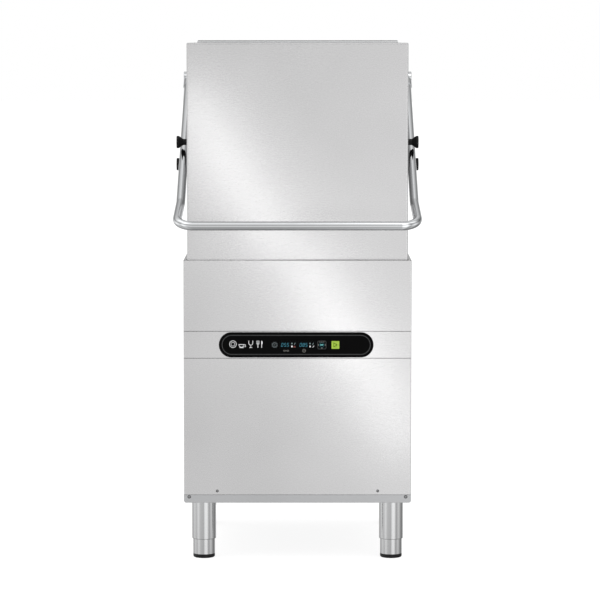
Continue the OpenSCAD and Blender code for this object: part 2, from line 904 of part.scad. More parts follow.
module hood_side(s) {
    x0 = s > 0 ? half_hood - hood_sheet : -half_hood;
    color(steel) in_place() difference() {
        block(x0, x0 + hood_sheet, hood_set_back + 12, hood_back_y, hood_low_z, hood_top_z);
        for (z = [roller_down_z, roller_up_z]) {
            rod_x(x0 - 1, x0 + 3, roller_y, z, 5.1);
        }
    }
}

module hood_left_side() {
    hood_side(-1);
}

module hood_right_side() {
    hood_side(1);
}

// roof sheet of the hood
module hood_top() {
    x = half_hood - hood_sheet;
    z0 = hood_top_z - hood_sheet;
    color(steel) in_place() block(-x, x, hood_set_back + hood_sheet, 622, z0, hood_top_z);
}

// plastic sliders inside the hood's rear edges, running on the columns' guide bars
module hood_sliders() {
    x1 = half_hood - hood_sheet;
    color([0.9, 0.9, 0.88]) in_place() for (s = [0, 1]) {
        mirror([s, 0, 0]) for (z = [862, 980]) {
            block(305.4, x1, 628, hood_back_y, z, z + 60);
            block(301.6, 305.4, 628, 633.6, z, z + 60);
            block(301.6, 305.4, 646.4, hood_back_y, z, z + 60);
        }
    }
}

// shoulder bolts the guide rollers turn on
module roller_pins() {
    color(steel) in_place() for (s = [0, 1]) {
        mirror([s, 0, 0]) for (z = [roller_down_z, roller_up_z]) {
            hex_x(302, half_hood - hood_sheet, roller_y, z, 8);
            rod_x(half_hood - hood_sheet, 345.4, roller_y, z, 5);
            rod_x(345.4, 348.4, roller_y, z, 8);
        }
    }
}

// a mushroom roller: slim neck, short cone and wide flange
module roller(s, z) {
    color(black) in_place() mirror([s > 0 ? 0 : 1, 0, 0]) translate([310.4, roller_y, z])
        rotate([0, 90, 0]) difference() {
            union() {
                cylinder(h = 29.1, r = roller_neck_r);
                translate([0, 0, 29.1]) cylinder(h = 3, r1 = roller_neck_r, r2 = roller_flange_r);
                translate([0, 0, 32.1]) cylinder(h = 5.4, r = roller_flange_r);
                translate([0, 0, 37.5]) cylinder(h = 1.1, r1 = roller_flange_r, r2 = roller_flange_r - 1.5);
            }
            translate([0, 0, -1]) cylinder(h = 40, r = 5.06);
            translate([0, 0, 34.6]) cylinder(h = 6, r = 8.5);
        }
}

module roller_left_upper() {
    roller(-1, roller_up_z);
}

module roller_left_lower() {
    roller(-1, roller_down_z);
}

module roller_right_upper() {
    roller(1, roller_up_z);
}

module roller_right_lower() {
    roller(1, roller_down_z);
}

// ---- machinery ----

// wash pump: motor with its spiral casing, inlet to the front and outlet upwards
module wash_pump() {
    color([0.55, 0.56, 0.58]) in_place() union() {
        rod_y(222, 250, -40, 310, 24);
        rod_y(250, 310, -40, 310, 80);
        rod_z(370, 424, -30, 280, wash_pipe_r);
        rod_y(310, 322, -40, 310, 70);
        rod_y(322, 500, -40, 310, 60);
        rod_y(500, 520, -40, 310, 54);
        block(-75, -5, 350, 480, 245, 262);
        block(-90, 10, 345, 353, tray_z, 262);
        block(-90, 10, 472, 480, tray_z, 262);
    }
}

module delivery_path(r, e) {
    rod_z(396 - e, 460, -30, 280, r);
    up_to_side(-30, 280, 460, 50, r, 1);
    rod_y(330, 558, -30, 510, r);
    side_to_up(-30, 558, 510, 50, r);
    rod_z(560, 594 + e, -30, riser_y, r);
}

module suction_path(r, e) {
    rod_z(360, 594 + e, -40, 150, r);
    translate([-40, 200, 360]) rotate([90, 0, 90]) rotate([0, 0, 180])
        rotate_extrude(angle = 90) translate([50, 0]) circle(r = r);
    rod_y(200, 244 + e, -40, 310, r);
}

// the pump's suction and delivery hoses
module wash_hoses() {
    color(black) in_place() union() {
        difference() {
            delivery_path(19.5, 0);
            delivery_path(wash_pipe_r + 0.1, 1);
        }
        difference() {
            suction_path(28, 0);
            suction_path(24.1, 1);
        }
    }
}

// rinse boiler on three feet, its heater flange on top
module boiler() {
    color([0.62, 0.62, 0.63]) in_place() union() {
        translate([205, 560, 200]) cylinder(h = 20, r1 = 80, r2 = 97);
        rod_z(220, 500, 205, 560, 97);
        translate([205, 560, 500]) cylinder(h = 20, r1 = 97, r2 = 80);
        rod_z(520, 528, 205, 560, 48);
        rod_z(528, 546, 205, 560, 30);
        for (a = [30, 150, 270]) {
            rod_z(tray_z, 206, 205 + 60 * cos(a), 560 + 60 * sin(a), 8);
        }
        rod_z(512, 566, 140, 560, rinse_pipe_r);
    }
}

// mounting plate for the electrics with its rail
module electric_plate() {
    color(steel) in_place() union() {
        block(110, 300, 150, 152, tray_z, 500);
        block(110, 300, 120, 150, tray_z, tray_z + 2);
        block(116, 294, 143, 150, 400, 403);
        block(116, 294, 143, 150, 432, 435);
        block(116, 294, 141, 143, 396, 407);
        block(116, 294, 141, 143, 428, 439);
    }
}

// three contactors on the rail
module contactors() {
    color(black) in_place() for (k = [0 : 2]) {
        block(124 + 54 * k, 169 + 54 * k, 70, 140.8, 380, 455);
        block(130 + 54 * k, 163 + 54 * k, 58, 70, 395, 440);
    }
}

// solenoid valve with the threaded water inlet at the back
module inlet_valve() {
    color([0.85, 0.86, 0.82]) in_place() union() {
        rod_y(700, cabinet_depth + back_reach, 255, 320, 13.2);
        rod_y(733, 737.4, 255, 320, 18);
        block(238, 272, 668, 700, 302, 338);
        rod_z(338, 378, 255, 684, 14);
        block(240, 270, 672, 696, 344, 372);
    }
}

module drain_path(r, low, high) {
    rod_z(310, high, -200, 130, r);
    translate([-200, 190, 310]) rotate([90, 0, 90]) rotate([0, 0, 180])
        rotate_extrude(angle = 90) translate([60, 0]) circle(r = r);
    rod_y(190, low, -200, 250, r);
}

// drain from the tank's floor to the outlet at the back
module drain_pipe() {
    color([0.5, 0.51, 0.52]) in_place() difference() {
        union() {
            drain_path(19, 738, 604);
            rod_y(737.4, cabinet_depth + back_reach, -200, 250, 20);
            rod_z(600, 604, -200, 130, 32);
        }
        drain_path(16.2, cabinet_depth + back_reach + 1, 606);
    }
}

// gland in the rear sheet for the supply cable
module cable_gland() {
    x = 150;
    z = 230;
    color(black) in_place() difference() {
        union() {
            hex_y(731, 737.4, x, z, 12);
            rod_y(737.4, 738.8, x, z, 7.9);
            hex_y(738.8, 743, x, z, 12);
            rod_y(743, 747, x, z, 9.5);
            translate([x, 747, z]) rotate([-90, 0, 0]) cylinder(h = 4, r1 = 9.5, r2 = 7);
        }
        rod_y(730, 752, x, z, 4.5);
    }
}

// ---- nodes ----

base_frame();
leg_tubes();
foot_front_left();
foot_front_right();
foot_rear_left();
foot_rear_right();
left_side_panel();
right_side_panel();
upper_front_panel();
control_strip();
lower_front_panel();
rear_panel();
panel_screws();
control_plate();
display_windows();
drain_key();
power_key();
start_key();
control_board();
deck_plate();
tank();
rack_track();
surface_filters();
suction_filter();
overflow_pipe();
tank_heater();
spray_manifolds();
lower_wash_arm();
lower_rinse_arm();
upper_wash_arm();
upper_rinse_arm();
arm_nuts();
wash_riser();
rinse_riser();
rear_frame();
chamber_back();
rear_cover();
shaft_bearings();
lift_springs();
spring_hooks();
handle_shaft();
handle_bail();
hood_front();
hood_left_side();
hood_right_side();
hood_top();
hood_sliders();
roller_pins();
roller_left_upper();
roller_left_lower();
roller_right_upper();
roller_right_lower();
wash_pump();
wash_hoses();
boiler();
electric_plate();
contactors();
inlet_valve();
drain_pipe();
cable_gland();
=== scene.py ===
"""Looks of the hood-type dishwasher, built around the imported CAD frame.

Lengths in the shape data are millimetres, turned into metres by mm(). X is across the
machine, Z is up, and "depth" counts backwards from the face of the front panels.
"""

import json
import math

import bmesh
import bpy
from mathutils import Matrix, Vector


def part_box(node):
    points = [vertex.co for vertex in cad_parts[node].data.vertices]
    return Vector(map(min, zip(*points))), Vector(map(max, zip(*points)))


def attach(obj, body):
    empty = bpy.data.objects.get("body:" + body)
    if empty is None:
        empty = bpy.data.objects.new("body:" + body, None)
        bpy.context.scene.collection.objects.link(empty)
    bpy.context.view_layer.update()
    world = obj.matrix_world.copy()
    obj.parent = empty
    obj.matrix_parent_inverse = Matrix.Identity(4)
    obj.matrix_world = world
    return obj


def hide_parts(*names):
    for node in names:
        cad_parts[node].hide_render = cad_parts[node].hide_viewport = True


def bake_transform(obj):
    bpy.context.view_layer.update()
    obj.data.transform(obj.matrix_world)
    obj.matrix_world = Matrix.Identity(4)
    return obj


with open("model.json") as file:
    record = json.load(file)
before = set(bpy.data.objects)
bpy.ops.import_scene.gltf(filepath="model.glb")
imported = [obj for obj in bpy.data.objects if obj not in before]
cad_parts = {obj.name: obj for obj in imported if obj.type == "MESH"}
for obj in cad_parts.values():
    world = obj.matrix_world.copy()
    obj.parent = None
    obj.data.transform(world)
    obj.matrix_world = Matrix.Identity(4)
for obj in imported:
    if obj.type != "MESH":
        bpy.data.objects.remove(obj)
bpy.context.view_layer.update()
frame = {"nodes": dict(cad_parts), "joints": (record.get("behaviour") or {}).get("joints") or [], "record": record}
scene = bpy.context.scene
nodes = frame["nodes"]

MM = 0.001
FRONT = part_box("lower_front_panel")[0].y


def mm(x, depth, z):
    """A point from millimetres across, behind the front panels and above the floor."""
    return Vector((x * MM, FRONT + depth * MM, z * MM))


# ---------------------------------------------------------------- node helpers


def new_material(name):
    mat = bpy.data.materials.new(name)
    mat.use_nodes = True
    tree = mat.node_tree
    tree.nodes.clear()
    out = tree.nodes.new("ShaderNodeOutputMaterial")
    shader = tree.nodes.new("ShaderNodeBsdfPrincipled")
    tree.links.new(shader.outputs["BSDF"], out.inputs["Surface"])
    return mat, tree, shader


def coords(tree, scale=(1, 1, 1)):
    """Object coordinates scaled along each axis: small numbers stretch the grain."""
    tex = tree.nodes.new("ShaderNodeTexCoord")
    mapping = tree.nodes.new("ShaderNodeMapping")
    mapping.inputs["Scale"].default_value = scale
    tree.links.new(tex.outputs["Object"], mapping.inputs["Vector"])
    return mapping.outputs["Vector"]


def noise(tree, vector, scale, detail=2.0, rough=0.5):
    tex = tree.nodes.new("ShaderNodeTexNoise")
    tex.inputs["Scale"].default_value = scale
    tex.inputs["Detail"].default_value = detail
    tex.inputs["Roughness"].default_value = rough
    tree.links.new(vector, tex.inputs["Vector"])
    return tex.outputs["Fac"]


def spread(tree, value, low, high):
    """Maps a noise value's middle range on to low..high."""
    node = tree.nodes.new("ShaderNodeMapRange")
    node.inputs["From Min"].default_value = 0.3
    node.inputs["From Max"].default_value = 0.7
    node.inputs["To Min"].default_value = low
    node.inputs["To Max"].default_value = high
    tree.links.new(value, node.inputs["Value"])
    return node.outputs["Result"]


def two_tone(tree, value, first, second):
    mix = tree.nodes.new("ShaderNodeMix")
    mix.data_type = "RGBA"
    mix.inputs["A"].default_value = (*first, 1)
    mix.inputs["B"].default_value = (*second, 1)
    tree.links.new(value, mix.inputs["Factor"])
    return mix.outputs["Result"]


def add_bump(tree, shader, height, strength, distance):
    bump = tree.nodes.new("ShaderNodeBump")
    bump.inputs["Strength"].default_value = strength
    bump.inputs["Distance"].default_value = distance
    tree.links.new(height, bump.inputs["Height"])
    tree.links.new(bump.outputs["Normal"], shader.inputs["Normal"])


def shade(rgb, k):
    return tuple(min(1.0, c * k) for c in rgb)


def brushed(name, rgb, rough, grain=(6, 90, 260), bump=0.05, tone=0.035):
    """Sheet or turned metal with a fine directional grain."""
    mat, tree, shader = new_material(name)
    fine = noise(tree, coords(tree, grain), 12, 3, 0.65)
    broad = noise(tree, coords(tree), 3.2, 2)
    tree.links.new(two_tone(tree, spread(tree, broad, 0, 1), shade(rgb, 1 - tone), shade(rgb, 1 + tone)),
                   shader.inputs["Base Color"])
    tree.links.new(spread(tree, fine, rough - 0.035, rough + 0.035), shader.inputs["Roughness"])
    shader.inputs["Metallic"].default_value = 1.0
    add_bump(tree, shader, fine, bump, 0.0004)
    return mat


def plastic(name, rgb, rough, grain=900, bump=0.08, tone=0.12, gloss=0.5):
    """Moulded plastic or paint with a fine skin texture."""
    mat, tree, shader = new_material(name)
    where = coords(tree)
    skin = noise(tree, where, grain, 2)
    broad = noise(tree, where, 14, 3)
    tree.links.new(two_tone(tree, spread(tree, broad, 0, 1), shade(rgb, 1 - tone), shade(rgb, 1 + tone)),
                   shader.inputs["Base Color"])
    tree.links.new(spread(tree, broad, max(0.02, rough - 0.04), rough + 0.05), shader.inputs["Roughness"])
    shader.inputs["Specular IOR Level"].default_value = gloss
    add_bump(tree, shader, skin, bump, 0.0002)
    return mat


def glowing(name, rgb, power, rough=0.3, gloss=0.08):
    """Lit print behind a glossy plate."""
    mat, tree, shader = new_material(name)
    patch = noise(tree, coords(tree), 160, 2)
    tree.links.new(two_tone(tree, spread(tree, patch, 0, 1), shade(rgb, 0.8), shade(rgb, 1.15)),
                   shader.inputs["Base Color"])
    tree.links.new(spread(tree, patch, rough - 0.05, rough + 0.05), shader.inputs["Roughness"])
    shader.inputs["Specular IOR Level"].default_value = gloss
    shader.inputs["Emission Color"].default_value = (*rgb, 1)
    shader.inputs["Emission Strength"].default_value = power
    return mat


# ---------------------------------------------------------------- materials

EVEN_GRAIN = (60, 60, 60)

mats = {
    # sheet, tube and wire
    "cabinet_steel": brushed("sheet_steel", (0.488, 0.485, 0.488), 0.26, bump=0.016),
    "hood_steel": brushed("hood_sheet_steel", (0.482, 0.479, 0.482), 0.26, bump=0.016),
    "cover_steel": brushed("housing_satin", (0.46, 0.46, 0.465), 0.33, bump=0.03),
    "frame_steel": brushed("frame_steel_plain", (0.415, 0.418, 0.425), 0.36, (40, 40, 40), 0.1),
    "handle_steel": brushed("polished_tube", (0.60, 0.61, 0.62), 0.08, (4, 14, 14), 0.003, 0.02),
    "leg_steel": brushed("turned_tube", (0.385, 0.387, 0.39), 0.13, (14, 14, 300), 0.04, 0.03),
    "chamber_steel": brushed("chamber_satin", (0.62, 0.625, 0.63), 0.24, (30, 30, 30)),
    "fastener_steel": brushed("fastener_bright", (0.26, 0.26, 0.265), 0.3, (80, 80, 80), 0.08),
    "spring_steel": brushed("spring_wire", (0.20, 0.20, 0.21), 0.42, EVEN_GRAIN, 0.12, 0.12),
    "boiler_steel": brushed("boiler_shell", (0.5, 0.5, 0.505), 0.34, (10, 10, 160), 0.08),
    "heater_sheath": brushed("heater_sheath_alloy", (0.32, 0.29, 0.26), 0.38, EVEN_GRAIN, 0.1, 0.1),
    # control panel
    "control_black": plastic("gloss_front", (0.0012, 0.0012, 0.0013), 0.16, 300, 0.01, gloss=0.03),
    "display_glass": plastic("smoked_window", (0.001, 0.0013, 0.0018), 0.12, 200, 0.005, gloss=0.04),
    "key_grey": plastic("key_face_dark", (0.0016, 0.0017, 0.0018), 0.2, 600, 0.02, gloss=0.05),
    "key_green": glowing("key_face_green", (0.31, 0.47, 0.045), 0.03, 0.35, 0.3),
    "board_green": plastic("board_lacquer", (0.02, 0.11, 0.045), 0.4, 500),
    # moulded, painted and rubber parts
    "black_plastic": plastic("moulded_black", (0.003, 0.003, 0.0035), 0.4, gloss=0.2),
    "slider_white": plastic("acetal_white", (0.78, 0.78, 0.74), 0.45, tone=0.03),
    "pump_alloy": plastic("cast_alloy_paint", (0.24, 0.25, 0.27), 0.5, 500, 0.25),
    "rubber_hose": plastic("hose_rubber", (0.02, 0.02, 0.021), 0.62, 700, 0.2),
    "valve_plastic": plastic("valve_body_light", (0.62, 0.63, 0.6), 0.45, tone=0.04),
    "drain_plastic": plastic("drain_grey", (0.10, 0.105, 0.11), 0.5),
}


def dress(obj, material):
    """Gives an object one material in place of whatever it has."""
    obj.data.materials.clear()
    obj.data.materials.append(material)
    return obj


node_slot = {s["node"]: s["material_slot"] for s in frame["record"]["subparts"]}
for name, obj in nodes.items():
    dress(obj, mats[node_slot[name]])


# ---------------------------------------------------------------- mesh helpers


def finish_mesh(name, bm, material, body, replaced=(), sharp=50, thickness=0.0):
    """Turns a bmesh into a shaded piece that rides on a body, if one is named.

    A thickness turns open faces into sheet metal.
    """
    bmesh.ops.recalc_face_normals(bm, faces=bm.faces)
    mesh = bpy.data.meshes.new(name)
    bm.to_mesh(mesh)
    bm.free()
    obj = bpy.data.objects.new(name, mesh)
    scene.collection.objects.link(obj)
    if thickness:
        skin = obj.modifiers.new("sheet", "SOLIDIFY")
        skin.thickness = thickness * MM
        skin.offset = -1
        baked = bpy.data.meshes.new_from_object(obj.evaluated_get(bpy.context.evaluated_depsgraph_get()))
        obj.modifiers.clear()
        obj.data = baked
        bpy.data.meshes.remove(mesh)
        mesh = baked
    mesh.shade_smooth()
    mesh.set_sharp_from_angle(angle=math.radians(sharp))
    level = obj.modifiers.new("level_normals", "WEIGHTED_NORMAL")
    level.mode = "FACE_AREA"
    level.weight = 100
    level.keep_sharp = True
    mesh.materials.append(material)
    if body:
        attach(obj, body)
    if replaced:
        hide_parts(*replaced)
    return obj


def cad_bmesh(node):
    """A clean copy of a CAD node's mesh: shared vertices, flat faces in one piece."""
    bm = bmesh.new()
    bm.from_mesh(nodes[node].data)
    bmesh.ops.remove_doubles(bm, verts=bm.verts, dist=2e-5)
    bmesh.ops.dissolve_limit(bm, angle_limit=math.radians(0.6), verts=bm.verts, edges=bm.edges)
    return bm


def sharp_edges(bm, degrees=40):
    return [e for e in bm.edges if len(e.link_faces) == 2 and e.calc_face_angle(0) > math.radians(degrees)]


def round_over(bm, edges, width, segments):
    bmesh.ops.bevel(bm, geom=edges, offset=width * MM, segments=segments, profile=0.5, affect="EDGES")


def eased(name, node, body, width, segments=3, first=None, first_width=0.0, coat=None):
    """The CAD node with its sharp edges rounded over, as a piece that stands for it.

    Edges whose middle passes first() are rounded to first_width before the others.
    """
    bm = cad_bmesh(node)
    if first:
        chosen = [e for e in sharp_edges(bm) if first((e.verts[0].co + e.verts[1].co) / 2)]
        round_over(bm, chosen, first_width, 4)
    round_over(bm, sharp_edges(bm), width, segments)
    slot = node_slot[node]
    return finish_mesh(name, bm, mats[coat or slot], body, (node,))


def lathe(bm, profile, origin, along, count=72, closed=False):
    """Turns (radius, height) points in millimetres about an axis through origin."""
    along = Vector(along).normalized()
    side = along.orthogonal().normalized()
    other = along.cross(side)
    rings = []
    for r, h in profile:
        centre = origin + along * h * MM
        if r == 0:
            rings.append([bm.verts.new(centre)])
            continue
        ring = []
        for k in range(count):
            a = 2 * math.pi * k / count
            ring.append(bm.verts.new(centre + (side * math.cos(a) + other * math.sin(a)) * r * MM))
        rings.append(ring)
    pairs = list(zip(rings, rings[1:]))
    if closed:
        pairs.append((rings[-1], rings[0]))
    for low_ring, high_ring in pairs:
        for k in range(count):
            n = (k + 1) % count
            if len(low_ring) == 1:
                bm.faces.new((low_ring[0], high_ring[k], high_ring[n]))
            elif len(high_ring) == 1:
                bm.faces.new((low_ring[k], low_ring[n], high_ring[0]))
            else:
                bm.faces.new((low_ring[k], low_ring[n], high_ring[n], high_ring[k]))


def rounded_route(points, radii, step=math.radians(4)):
    """A polyline whose inner corners are arcs of the given radii."""
    route = [points[0]]
    for before, here, after, radius in zip(points, points[1:], points[2:], radii):
        u = (before - here).normalized()
        v = (after - here).normalized()
        turn = math.pi - u.angle(v)
        if turn < 1e-4 or radius == 0:
            route.append(here)
            continue
        tangent = radius * math.tan(turn / 2)
        centre = here + (u + v).normalized() * (radius / math.cos(turn / 2))
        start = here + u * tangent - centre
        axis = start.cross(here + v * tangent - centre).normalized()
        count = max(2, math.ceil(turn / step))
        for k in range(count + 1):
            route.append(centre + Matrix.Rotation(turn * k / count, 3, axis) @ start)
    route.append(points[-1])
    return route


def sweep(bm, route, radius, count=32):
    """A closed round bar along a route."""
    tangents = []
    for k in range(len(route)):
        ahead = route[min(k + 1, len(route) - 1)] - route[max(k - 1, 0)]
        tangents.append(ahead.normalized())
    side = tangents[0].orthogonal().normalized()
    rings = []
    for k, (point, tangent) in enumerate(zip(route, tangents)):
        if k:
            side = tangents[k - 1].rotation_difference(tangent) @ side
        side = (side - tangent * side.dot(tangent)).normalized()
        other = tangent.cross(side)
        ring = []
        for n in range(count):
            a = 2 * math.pi * n / count
            ring.append(bm.verts.new(point + (side * math.cos(a) + other * math.sin(a)) * radius))
        rings.append(ring)
    for low_ring, high_ring in zip(rings, rings[1:]):
        for k in range(count):
            n = (k + 1) % count
            bm.faces.new((low_ring[k], low_ring[n], high_ring[n], high_ring[k]))
    bm.faces.new(rings[0])
    bm.faces.new(list(reversed(rings[-1])))


def rounded_loop(cx, cz, w, h, r, count=8):
    """Points (x, z) of a rounded rectangle, in millimetres."""
    pts = []
    for sx, sz, start in ((1, 1, 0), (-1, 1, 90), (-1, -1, 180), (1, -1, 270)):
        for k in range(count + 1):
            a = math.radians(start + 90 * k / count)
            pts.append((cx + sx * (w / 2 - r) + r * math.cos(a), cz + sz * (h / 2 - r) + r * math.sin(a)))
    return pts


def disc_loop(cx, cz, r, count=28):
    """Points (x, z) of a circle, in millimetres."""
    angles = [2 * math.pi * k / count for k in range(count)]
    return [(cx + r * math.cos(a), cz + r * math.sin(a)) for a in angles]


def arc_band(cx, cz, r, w, a0, a1, count=14):
    """A curved stroke of width w from angle a0 to a1."""
    angles = [math.radians(a0 + (a1 - a0) * k / count) for k in range(count + 1)]
    outer = [(cx + (r + w / 2) * math.cos(a), cz + (r + w / 2) * math.sin(a)) for a in angles]
    inner = [(cx + (r - w / 2) * math.cos(a), cz + (r - w / 2) * math.sin(a)) for a in angles]
    return outer + inner[::-1]


def stroke(x0, z0, x1, z1, w):
    """A straight stroke of width w."""
    dx, dz = x1 - x0, z1 - z0
    n = math.hypot(dx, dz)
    px, pz = -dz / n * w / 2, dx / n * w / 2
    return [(x0 + px, z0 + pz), (x0 - px, z0 - pz), (x1 - px, z1 - pz), (x1 + px, z1 + pz)]


def add_shape(bm, loop, front, back, hole=None):
    """A thin closed shape cut out of sheet, with one matching hole if given."""
    def ring(points, depth):
        return [bm.verts.new(mm(x, depth, z)) for x, z in points]

    outer_f, outer_b = ring(loop, front), ring(loop, back)
    n = len(loop)
    for k in range(n):
        bm.faces.new((outer_f[k], outer_f[(k + 1) % n], outer_b[(k + 1) % n], outer_b[k]))
    if hole is None:
        bm.faces.new(outer_f)
        bm.faces.new(outer_b)
        return
    inner_f, inner_b = ring(hole, front), ring(hole, back)
    for k in range(n):
        m = (k + 1) % n
        bm.faces.new((inner_f[k], inner_f[m], inner_b[m], inner_b[k]))
        bm.faces.new((outer_f[k], outer_f[m], inner_f[m], inner_f[k]))
        bm.faces.new((outer_b[k], outer_b[m], inner_b[m], inner_b[k]))


def print_piece(name, shapes, depths, material, body):
    """Printed marks as thin inlays. A shape is a loop, or a loop and its hole."""
    bm = bmesh.new()
    for shape in shapes:
        if isinstance(shape[0][0], tuple):
            add_shape(bm, shape[0], *depths, shape[1])
        else:
            add_shape(bm, shape, *depths)
    return finish_mesh(name, bm, material, body)


# ---------------------------------------------------------------- cabinet sheets

RIM_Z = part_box("upper_front_panel")[1].z


def is_top_front(middle):
    """True for the middle of an edge along the top of the upper panel's front face."""
    return abs(middle.z - RIM_Z) < 1e-4 and abs(middle.y - FRONT) < 4e-4


eased("upper_panel_sheet", "upper_front_panel", "cabinet", 0.35, first=is_top_front, first_width=1.0)
eased("control_strip_sheet", "control_strip", "cabinet", 0.35)
eased("lower_panel_sheet", "lower_front_panel", "cabinet", 0.35)
eased("left_side_sheet", "left_side_panel", "cabinet", 0.4)
eased("right_side_sheet", "right_side_panel", "cabinet", 0.4)
eased("base_rail", "base_frame", "cabinet", 0.5)
eased("rear_sheet", "rear_panel", "cabinet", 0.3)
eased("rear_housing", "rear_cover", "cabinet", 0.5)


# ---------------------------------------------------------------- hood shell

FOLD_R, HOOD_SHEET = 4.0, 1.5
# corners of each sheet: front, middle or back, then left or right, then 0 for low and 1 for high
HOOD_SHEETS = (
    ("fl0", "fr0", "fr1", "fl1"),
    ("fl1", "fr1", "mr1", "ml1"),
    ("fr0", "mr0", "mr1", "fr1"),
    ("mr0", "br0", "br1", "mr1"),
    ("ml0", "fl0", "fl1", "ml1"),
    ("bl0", "ml0", "ml1", "bl1"),
)


def hood_shell():
    """One folded and welded shell with rounded front and top edges."""
    (x0, y0, z0), (x1, _, z1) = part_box("hood_front")
    depths = {"f": y0, "m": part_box("hood_top")[1].y, "b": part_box("hood_left_side")[1].y}
    bm = bmesh.new()
    v = {}
    for place, y in depths.items():
        for level, z in (("0", z0), ("1", z1)):
            for side, x in (("l", x0), ("r", x1)):
                v[place + side + level] = bm.verts.new((x, y, z))
    for corners in HOOD_SHEETS:
        bm.faces.new([v[corner] for corner in corners])
    bmesh.ops.recalc_face_normals(bm, faces=bm.faces)
    folds = [e for e in bm.edges if len(e.link_faces) == 2 and e.calc_face_angle(0) > 1]
    round_over(bm, folds, FOLD_R, 6)
    finish_mesh("hood_shell", bm, mats["hood_steel"], "hood",
                ("hood_front", "hood_left_side", "hood_right_side", "hood_top"), thickness=HOOD_SHEET)


hood_shell()


# ---------------------------------------------------------------- legs and feet

UP = (0, 0, 1)
PAD_H, TUBE_LOW = 10.8, 10.9  # top of the plastic pad and bottom of the steel foot tube above it
FEET = [(end, side) for side in ("left", "right") for end in ("front", "rear")]


def floor_centre(node):
    lo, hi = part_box(node)
    return Vector(((lo.x + hi.x) / 2, (lo.y + hi.y) / 2, 0))


def foot_radius(node):
    lo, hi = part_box(node)
    return (hi.x - lo.x) / 2 / MM


def make_foot(end, side):
    """A steel tube on a black pad whose lower edge is rounded in."""
    node, body = f"foot_{end}_{side}", f"foot_{end[0]}{side[0]}"
    centre, r, top = floor_centre(node), foot_radius(node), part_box(node)[1].z / MM
    bm = bmesh.new()
    lathe(bm, [(0, 0), (r - 4.6, 0), (r - 2.6, 0.5), (r - 1.0, 1.7), (r - 0.25, 3.4), (r, 5.2),
               (r, 9.2), (r - 0.35, 9.9), (r - 1.0, 10.2), (r - 1.0, PAD_H), (0, PAD_H)], centre, UP, 96)
    finish_mesh(f"pad_{end}_{side}", bm, mats["black_plastic"], body)
    bm = bmesh.new()
    lathe(bm, [(r - 3, TUBE_LOW), (r - 0.6, TUBE_LOW), (r, 11.5), (r, top - 0.6), (r - 0.6, top),
               (r - 3, top)], centre, UP, 96, closed=True)
    finish_mesh(f"foot_tube_{end}_{side}", bm, mats["leg_steel"], body, (node,))


def make_legs():
    """Fixed outer tubes that the feet screw into, rounded at their lower ends."""
    leg_lo, leg_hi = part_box("leg_tubes")
    low, high = leg_lo.z / MM, leg_hi.z / MM
    foot_r = foot_radius("foot_front_left")
    leg_r = (leg_hi.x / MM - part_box("foot_rear_right")[1].x / MM) + foot_r
    profile = [(foot_r + 0.1, low + 0.4), (foot_r + 0.5, low), (leg_r - 1.6, low),
               (leg_r - 0.9, low + 0.25), (leg_r - 0.3, low + 0.9), (leg_r, low + 2.0),
               (leg_r, high), (foot_r + 0.1, high)]
    bm = bmesh.new()
    for end, side in FEET:
        lathe(bm, profile, floor_centre(f"foot_{end}_{side}"), UP, 96, closed=True)
    finish_mesh("leg_sleeves", bm, mats["leg_steel"], "cabinet", ("leg_tubes",))


for foot_end, foot_side in FEET:
    make_foot(foot_end, foot_side)
make_legs()


# ---------------------------------------------------------------- handle

TUBE_R, ARM_X = 12.5, 328.0  # tube radius and the arms' distance from the machine's centre
ARM_SLOPE, NOSE_SLOPE, NOSE_SPLAY = 28.2, 21.8, 2.8  # degrees
BEND_R, CORNER_R = 60.0, 45.0
BEND_DEPTH = 35.0  # where the arms end and the noses begin
TUBE_START = 17.0  # where the tube begins, along the arm from the pivot
HUB_X, HUB_R, HUB_W, HUB_BORE = 313.0, 19.0, 30.0, 10.2
SOCKET_R, SOCKET_START, SOCKET_END = 15.0, 15.0, 54.0
pivot = Vector(next(j for j in frame["joints"] if j["name"] == "handle_swing")["pos_m"])
pivot_depth, pivot_z = (pivot.y - FRONT) / MM, pivot.z / MM


def make_handle_tube():
    """The bail: two side arms from the hubs, splayed noses, front corners and the grip bar."""
    slope, nose, splay = (math.radians(angle) for angle in (ARM_SLOPE, NOSE_SLOPE, NOSE_SPLAY))
    grip_depth = (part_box("handle_bail")[0].y - FRONT) / MM + TUBE_R
    bend_z = pivot_z - (pivot_depth - BEND_DEPTH) * math.tan(slope)
    nose_drop = (BEND_DEPTH - grip_depth) * math.tan(nose)
    nose_len = (BEND_DEPTH - grip_depth) / math.cos(nose)
    corner_x = ARM_X + nose_len * math.tan(splay)
    left = [
        mm(-ARM_X, pivot_depth - TUBE_START * math.cos(slope), pivot_z - TUBE_START * math.sin(slope)),
        mm(-ARM_X, BEND_DEPTH, bend_z),
        mm(-corner_x, grip_depth, bend_z - nose_drop),
    ]
    right = [Vector((-point.x, point.y, point.z)) for point in reversed(left)]
    radii = [r * MM for r in (BEND_R, CORNER_R, CORNER_R, BEND_R)]
    bm = bmesh.new()
    sweep(bm, rounded_route(left + right, radii), TUBE_R * MM, 40)
    tube = finish_mesh("handle_tube", bm, mats["handle_steel"], "handle",
                       ("handle_bail",))
    tube.visible_glossy = False


